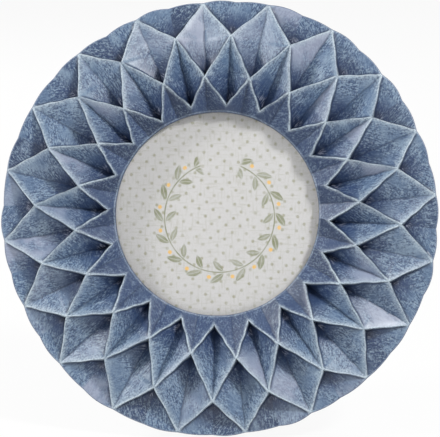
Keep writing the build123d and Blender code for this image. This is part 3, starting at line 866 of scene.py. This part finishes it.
    ends = (0, RIDGE_STEPS)
    lobes = np.array(SCALLOP_RISES)[:, None] + chance.uniform(-0.5, 0.5, (2, PETALS)) * SCALLOP_RISES[0]
    rim_edges = [add_half(0, side, ridge, rim_creases, rise, falling(starts, ridge_pits), ends, ridge_pits,
                          bend=scallop(lobes[side]))
                 for side, (ridge, starts) in enumerate(((tip_ridge, tips), (after(tip_last), after(tips))))]
    for row, side, ridge, crease, starts, pits in (
            (1, 0, joined(tip_last, before(ridge_next)), tip_creases, before(ridges), crest_pits),
            (1, 1, joined(tip_ridge, ridge_crest), tip_creases, ridges, crest_pits),
            (2, 0, joined(ridge_crest, crest_collar), ridge_creases, crests, collar_pits),
            (2, 1, joined(ridge_next, after(crest_last)), ridge_creases, after(crests), collar_pits)):
        add_half(row, side, ridge, crease, both, with_wall(starts, pits), (*ends, 2 * RIDGE_STEPS), pits)
    flat = np.zeros(RIDGE_STEPS + LIP_STEPS + 1)
    lip_foot = np.full((PETALS, len(flat)), np.inf)
    lip_edges = [add_half(3, side, ridge, crest_creases, flat, lip_foot, ends, None, bend=lip_circle)
                 for side, ridge in enumerate((joined(crest_last, before(collar_lip)),
                                               joined(crest_collar, collar_lip)))]

    columns = BAND_STEPS + WALL_STEPS + FACET_STEPS
    rim = np.concatenate([rim_edges[0][:, 0, :columns], rim_edges[1][:, 0, :0:-1]], axis=1).reshape(-1, 3)
    lip = np.concatenate([lip_edges[0][:, -1, :columns], lip_edges[1][:, -1, :0:-1]], axis=1).reshape(-1, 3)
    lip = np.roll(lip, -columns, axis=0)
    add_rim_and_back(mesh, rim, lip)
    return mesh.welded()


def stepped_out(loop, outward, level):
    """Loop moved away from the middle and set to a level."""
    radius = np.linalg.norm(loop[:, :2], axis=1, keepdims=True)
    flat = loop[:, :2] * (1 + outward / radius)
    return np.concatenate([flat, np.broadcast_to(level, (len(loop),))[:, None]], axis=1)


def add_rim_and_back(mesh, rim, lip):
    """Rounded rim, side, flat back, rebate and lip of the opening."""
    quarter = np.linspace(0, np.pi / 2, ROUND_STEPS + 1)
    loops = [stepped_out(rim, RIM_ROUND * np.sin(a), rim[:, 2] - RIM_ROUND * (1 - np.cos(a)))
             for a in quarter]
    side_top = rim[:, 2] - RIM_ROUND
    for share in np.arange(1, SIDE_STEPS + 1) / SIDE_STEPS:
        loops.append(stepped_out(rim, RIM_ROUND, side_top + (BACK_ROUND - side_top) * share))
    loops += [stepped_out(rim, RIM_ROUND - BACK_ROUND * (1 - np.cos(a)), BACK_ROUND * (1 - np.sin(a)))
              for a in quarter[1:]]

    way = turn_of(lip[:, :2] - OPENING_OFFSET)
    outer, inner = loops[-1], polar(REBATE_RADIUS, way, 0.0)
    for share in np.arange(1, BACK_STEPS + 1) / BACK_STEPS:
        loops.append(outer + (inner - outer) * share)
    loops.append(polar(REBATE_RADIUS, way, REBATE_DEPTH))
    loops.append(opening(OPENING_RADIUS, way, REBATE_DEPTH))
    loops.append(opening(OPENING_RADIUS, way, (REBATE_DEPTH + LIP_LEVEL - LIP_ROUND) / 2))
    loops += [opening(OPENING_RADIUS + LIP_ROUND * (1 - np.cos(a)), way,
                      lip[:, 2] - LIP_ROUND * (1 - np.sin(a))) for a in quarter[:-1]]
    loops.append(lip)
    grid = np.stack(loops)
    values = np.concatenate([np.full(grid.shape[:2] + (4,), FAR), grid], axis=-1)
    values[..., 2] = 0
    values[..., 3] = PLAIN_PIT_GAP
    # The wall of the opening gets the groove's navy: painted shade inside the lip.
    values[-ROUND_STEPS - 3:-2, :, 2] = LIP_WALL_SHADE
    mesh.add_grid(grid, values, closed=True)


def face_to_world():
    """Matrix from face millimetres to the frame's metres."""
    joint = next(j for j in frame["joints"] if j["name"] == "turn_button_1_turn")
    out = -Vector(joint["axis"]).normalized()
    right = Vector((1, 0, 0))
    up = out.cross(right)
    low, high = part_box("board_facing")
    middle = (low + high) / 2 - out * FACING_THICKNESS / 2 * MM
    turned = Matrix((right, up, out)).transposed().to_4x4()
    return Matrix.Translation(middle) @ turned @ Matrix.Scale(MM, 4)


def face_mesh(name, points, faces, sharp_angle):
    """Mesh in the frame's metres from points in face millimetres."""
    to_world = np.array(face_to_world())
    world = points @ to_world[:3, :3].T + to_world[:3, 3]
    world[:, 2] = np.maximum(world[:, 2], 0)
    mesh = bpy.data.meshes.new(name)
    mesh.from_pydata(world.tolist(), [], faces)
    work = bmesh.new()
    work.from_mesh(mesh)
    bmesh.ops.recalc_face_normals(work, faces=work.faces)
    work.to_mesh(mesh)
    work.free()
    mesh.shade_smooth()
    mesh.set_sharp_from_angle(angle=math.radians(sharp_angle))
    return mesh


def place_piece(context, mesh, material, node):
    """Puts a piece of the frame in the place of its CAD node."""
    mesh.materials.append(material)
    piece = bpy.data.objects.new(mesh.name, mesh)
    context.scene.collection.objects.link(piece)
    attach(piece, "frame")
    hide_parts(node)


def settings():
    """Settings of the photo frame in the open scene."""
    return bpy.context.scene.photo_frame


def dress(names, material, bevel=0.0):
    """Gives CAD nodes a finish and, on metal, softened edges."""
    for name in names:
        node = frame["nodes"][name]
        for slot in node.material_slots:
            slot.material = material
        if bevel:
            weld = node.modifiers.new("weld", "WELD")
            weld.merge_threshold = 0.001 * MM
            soft = node.modifiers.new("soft_edges", "BEVEL")
            soft.width = bevel
            soft.segments = 2
            soft.limit_method = "ANGLE"
            soft.angle_limit = math.radians(METAL_SHARP)
            soft.harden_normals = True


class PHOTOFRAME_OT_ring(bpy.types.Operator):
    """Model and paint the petal ring"""
    bl_idname = "photoframe.ring"
    bl_label = "Petal ring"

    def execute(self, context):
        ring = settings().ring
        points, faces, values = build_relief(ring)
        mesh = face_mesh("petal_ring", points, faces, RING_SHARP)
        for column, name in enumerate(PAINT_LAYERS):
            layer = mesh.attributes.new(name, "FLOAT", "POINT")
            layer.data.foreach_set("value", np.ascontiguousarray(values[:, column], dtype=np.float32))
        layer = mesh.attributes.new("petal_run", "FLOAT_VECTOR", "POINT")
        layer.data.foreach_set("vector", np.ascontiguousarray(values[:, 4:], dtype=np.float32).ravel())
        place_piece(context, mesh, painted_resin(ring), "frame_ring")
        return {"FINISHED"}


class PHOTOFRAME_OT_print(bpy.types.Operator):
    """Print the sheet behind the pane"""
    bl_idname = "photoframe.printed_sheet"
    bl_label = "Print"

    def execute(self, context):
        dress(["photo_print"], printed_paper(settings().printed))
        return {"FINISHED"}


class PHOTOFRAME_OT_glass(bpy.types.Operator):
    """Cut the pane with its ground edge"""
    bl_idname = "photoframe.glass"
    bl_label = "Glass"

    def execute(self, context):
        low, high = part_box("glass_disc")
        radius = (high.x - low.x) / 2 / MM
        back, front = PANE_LEVEL + PANE_AIR, REBATE_DEPTH - PANE_AIR
        profile = [(0, back), (radius - PANE_SEAM, back), (radius, back + PANE_SEAM),
                   (radius, front - PANE_SEAM), (radius - PANE_SEAM, front), (0, front)]
        turns = np.arange(PANE_STEPS) * 360 / PANE_STEPS
        pane = PetalMesh()
        pane.add_grid(np.stack([polar(r, turns, level) for r, level in profile]), closed=True)
        points, faces, _ = pane.welded()
        mesh = face_mesh("glass_pane", points, faces, PANE_SHARP)
        place_piece(context, mesh, clear_glass(), "glass_disc")
        return {"FINISHED"}


class PHOTOFRAME_OT_boards(bpy.types.Operator):
    """Finish the packing card, the back board and the leg with their black paper"""
    bl_idname = "photoframe.boards"
    bl_label = "Boards and card"

    def execute(self, context):
        back = settings().back
        dress(["packing_card"], fibre_sheet("grey_card", back.card, back.fleck, (700.0, 700.0, 700.0), 0.80))
        dress(["back_board", "easel_leg"],
              fibre_sheet("fibreboard", back.board, back.fibre, (500.0, 2400.0, 900.0), 0.72))
        dress(["board_facing", "leg_facing"], black_paper(back))
        return {"FINISHED"}


class PHOTOFRAME_OT_fittings(bpy.types.Operator):
    """Finish the turn buttons, the hinge, the hanger, the rivets and the screws"""
    bl_idname = "photoframe.fittings"
    bl_label = "Metal fittings"

    def execute(self, context):
        back = settings().back
        nickel = ["turn_button_1", "turn_button_2", "turn_button_3", "turn_button_4", "hinge_fixed_leaf",
                  "hinge_moving_leaf", "sawtooth_hanger", "board_rivets", "leg_rivets"]
        zinc = ["turn_button_screws", "hanger_screws"]
        for names, finish, base, stretch, roughness in (
                (nickel, "nickel_steel", back.nickel, (300.0, 9000.0, 9000.0), 0.20),
                (zinc, "zinc_screw", back.zinc, (2500.0, 2500.0, 2500.0), 0.26),
                (["hinge_pin"], "steel_wire", back.wire, (200.0, 6000.0, 6000.0), 0.24)):
            dress(names, plated_metal(finish, base, back.tarnish, stretch, roughness), back.bevel)
        return {"FINISHED"}


class PHOTOFRAME_OT_stage(bpy.types.Operator):
    """Set the floor, the lamps and the camera"""
    bl_idname = "photoframe.stage"
    bl_label = "Stage"

    def execute(self, context):
        stage = settings().stage
        scene = context.scene
        scene.view_settings.view_transform = "Standard"
        add_floor(scene, stage)
        light_surround(scene, stage)
        add_lamps(scene, stage)
        add_camera(scene, stage)
        return {"FINISHED"}


def seen_directly(bench):
    """1 for rays that show the background: from the camera, or by way of gloss or glass."""
    path = bench.add("ShaderNodeLightPath").outputs
    either = bench.math("MAXIMUM", path["Is Camera Ray"], path["Is Glossy Ray"])
    return bench.math("MAXIMUM", either, path["Is Transmission Ray"])


def add_floor(scene, stage):
    """Wide pale floor that keeps a soft shadow."""
    mesh = bpy.data.meshes.new("floor")
    corners = [(FLOOR_REACH * x, FLOOR_REACH * y, 0) for x, y in ((-1, -1), (1, -1), (1, 1), (-1, 1))]
    mesh.from_pydata(corners, [], [(0, 1, 2, 3)])
    floor = bpy.data.objects.new("floor", mesh)
    scene.collection.objects.link(floor)
    material, bench = new_material("pale_floor")
    speck = bench.noise(bench.place(), 40.0)
    tone = bench.mix(bench.ease(speck, 0.3, 0.7, 0.0, 0.02), stage.floor, (0.7, 0.7, 0.7, 1))
    matt = bench.add("ShaderNodeBsdfDiffuse", {"Color": tone})
    white = bench.add("ShaderNodeEmission", {"Color": (1, 1, 1, 1), "Strength": 1.0})
    bench.show("ShaderNodeOutputMaterial", bench.product(seen_directly(bench), FLOOR_WHITE), matt, white)
    mesh.materials.append(material)


def light_surround(scene, stage):
    """White surround for the eye and even soft light for the surfaces."""
    world = bpy.data.worlds.new("white_surround")
    scene.world = world
    bench = empty_bench(world)
    lit, seen = (bench.add("ShaderNodeBackground", {"Color": (1, 1, 1, 1), "Strength": strength})
                 for strength in (stage.fill, 1.0))
    bench.show("ShaderNodeOutputWorld", seen_directly(bench), lit, seen)


def add_lamp(scene, name, place, target, size, watts):
    """Square lamp that looks at a point."""
    lamp = bpy.data.lights.new(name, "AREA")
    lamp.energy = watts
    lamp.size = size
    item = bpy.data.objects.new(name, lamp)
    item.location = place
    item.visible_camera = False
    item.rotation_euler = (target - place).to_track_quat("-Z", "Y").to_euler()
    scene.collection.objects.link(item)


def add_lamps(scene, stage):
    """Lamps that graze the face from the right and the left, one high behind and a weak one on the floor."""
    middle = (CAD_LOW + CAD_HIGH) / 2
    for name, (turn, height), watts in (("right_lamp", RIGHT_LAMP, stage.right),
                                        ("left_lamp", LEFT_LAMP, stage.left)):
        flat = LAMP_DISTANCE * math.cos(math.radians(height))
        place = Vector(polar(flat, turn, LAMP_DISTANCE * math.sin(math.radians(height))))
        add_lamp(scene, name, face_to_world() @ place, middle, LAMP_SIZE, watts)
    add_lamp(scene, "back_lamp", middle + Vector(BACK_LAMP), middle, BACK_LAMP_SIZE, stage.back)
    right, away, height = LOW_LAMP
    add_lamp(scene, "low_lamp", Vector((right, CAD_LOW.y + away, height)), middle, LOW_LAMP_SIZE, stage.low)


def add_camera(scene, stage):
    """Camera that frames the face as in the picture."""
    data = bpy.data.cameras.new("camera")
    data.sensor_fit = "HORIZONTAL"
    data.sensor_width = 36.0
    data.lens = data.sensor_width * stage.distance / stage.view_width
    aim = face_to_world() @ Vector((stage.aim_right / MM, -stage.aim_down / MM, AIM_LEVEL))
    level = math.cos(stage.elevation)
    back = Vector((math.sin(stage.azimuth) * level, -math.cos(stage.azimuth) * level,
                   math.sin(stage.elevation)))
    camera = bpy.data.objects.new("camera", data)
    camera.location = aim + back * stage.distance
    camera.rotation_euler = (-back).to_track_quat("-Z", "Y").to_euler()
    data.clip_start = 0.01
    data.clip_end = 100.0
    scene.collection.objects.link(camera)
    scene.camera = camera


class PHOTOFRAME_PT_panel(bpy.types.Panel):
    """Buttons and settings of the photo frame"""
    bl_idname = "PHOTOFRAME_PT_panel"
    bl_label = "Photo frame"
    bl_space_type = "VIEW_3D"
    bl_region_type = "UI"
    bl_category = "Photo frame"

    def draw(self, context):
        chosen = context.scene.photo_frame
        for operator, group in PANEL_ROWS:
            self.layout.operator(operator.bl_idname)
            for name in getattr(chosen, group).__annotations__ if group else ():
                self.layout.prop(getattr(chosen, group), name)


PANEL_ROWS = [(PHOTOFRAME_OT_ring, "ring"), (PHOTOFRAME_OT_print, "printed"), (PHOTOFRAME_OT_glass, ""),
              (PHOTOFRAME_OT_boards, ""), (PHOTOFRAME_OT_fittings, "back"), (PHOTOFRAME_OT_stage, "stage")]
CLASSES = [RingSettings, PrintSettings, BackSettings, StageSettings, PhotoFrameSettings,
           *(operator for operator, _ in PANEL_ROWS), PHOTOFRAME_PT_panel]


def register():
    """Adds the classes and the settings to Blender."""
    for item in CLASSES:
        bpy.utils.register_class(item)
    bpy.types.Scene.photo_frame = PointerProperty(type=PhotoFrameSettings)


def unregister():
    """Takes the settings and the classes out again."""
    del bpy.types.Scene.photo_frame
    for item in reversed(CLASSES):
        bpy.utils.unregister_class(item)


def main():
    """Builds every piece."""
    register()
    bpy.ops.photoframe.ring()
    bpy.ops.photoframe.printed_sheet()
    bpy.ops.photoframe.glass()
    bpy.ops.photoframe.boards()
    bpy.ops.photoframe.fittings()
    bpy.ops.photoframe.stage()


if __name__ == "__main__":
    main()
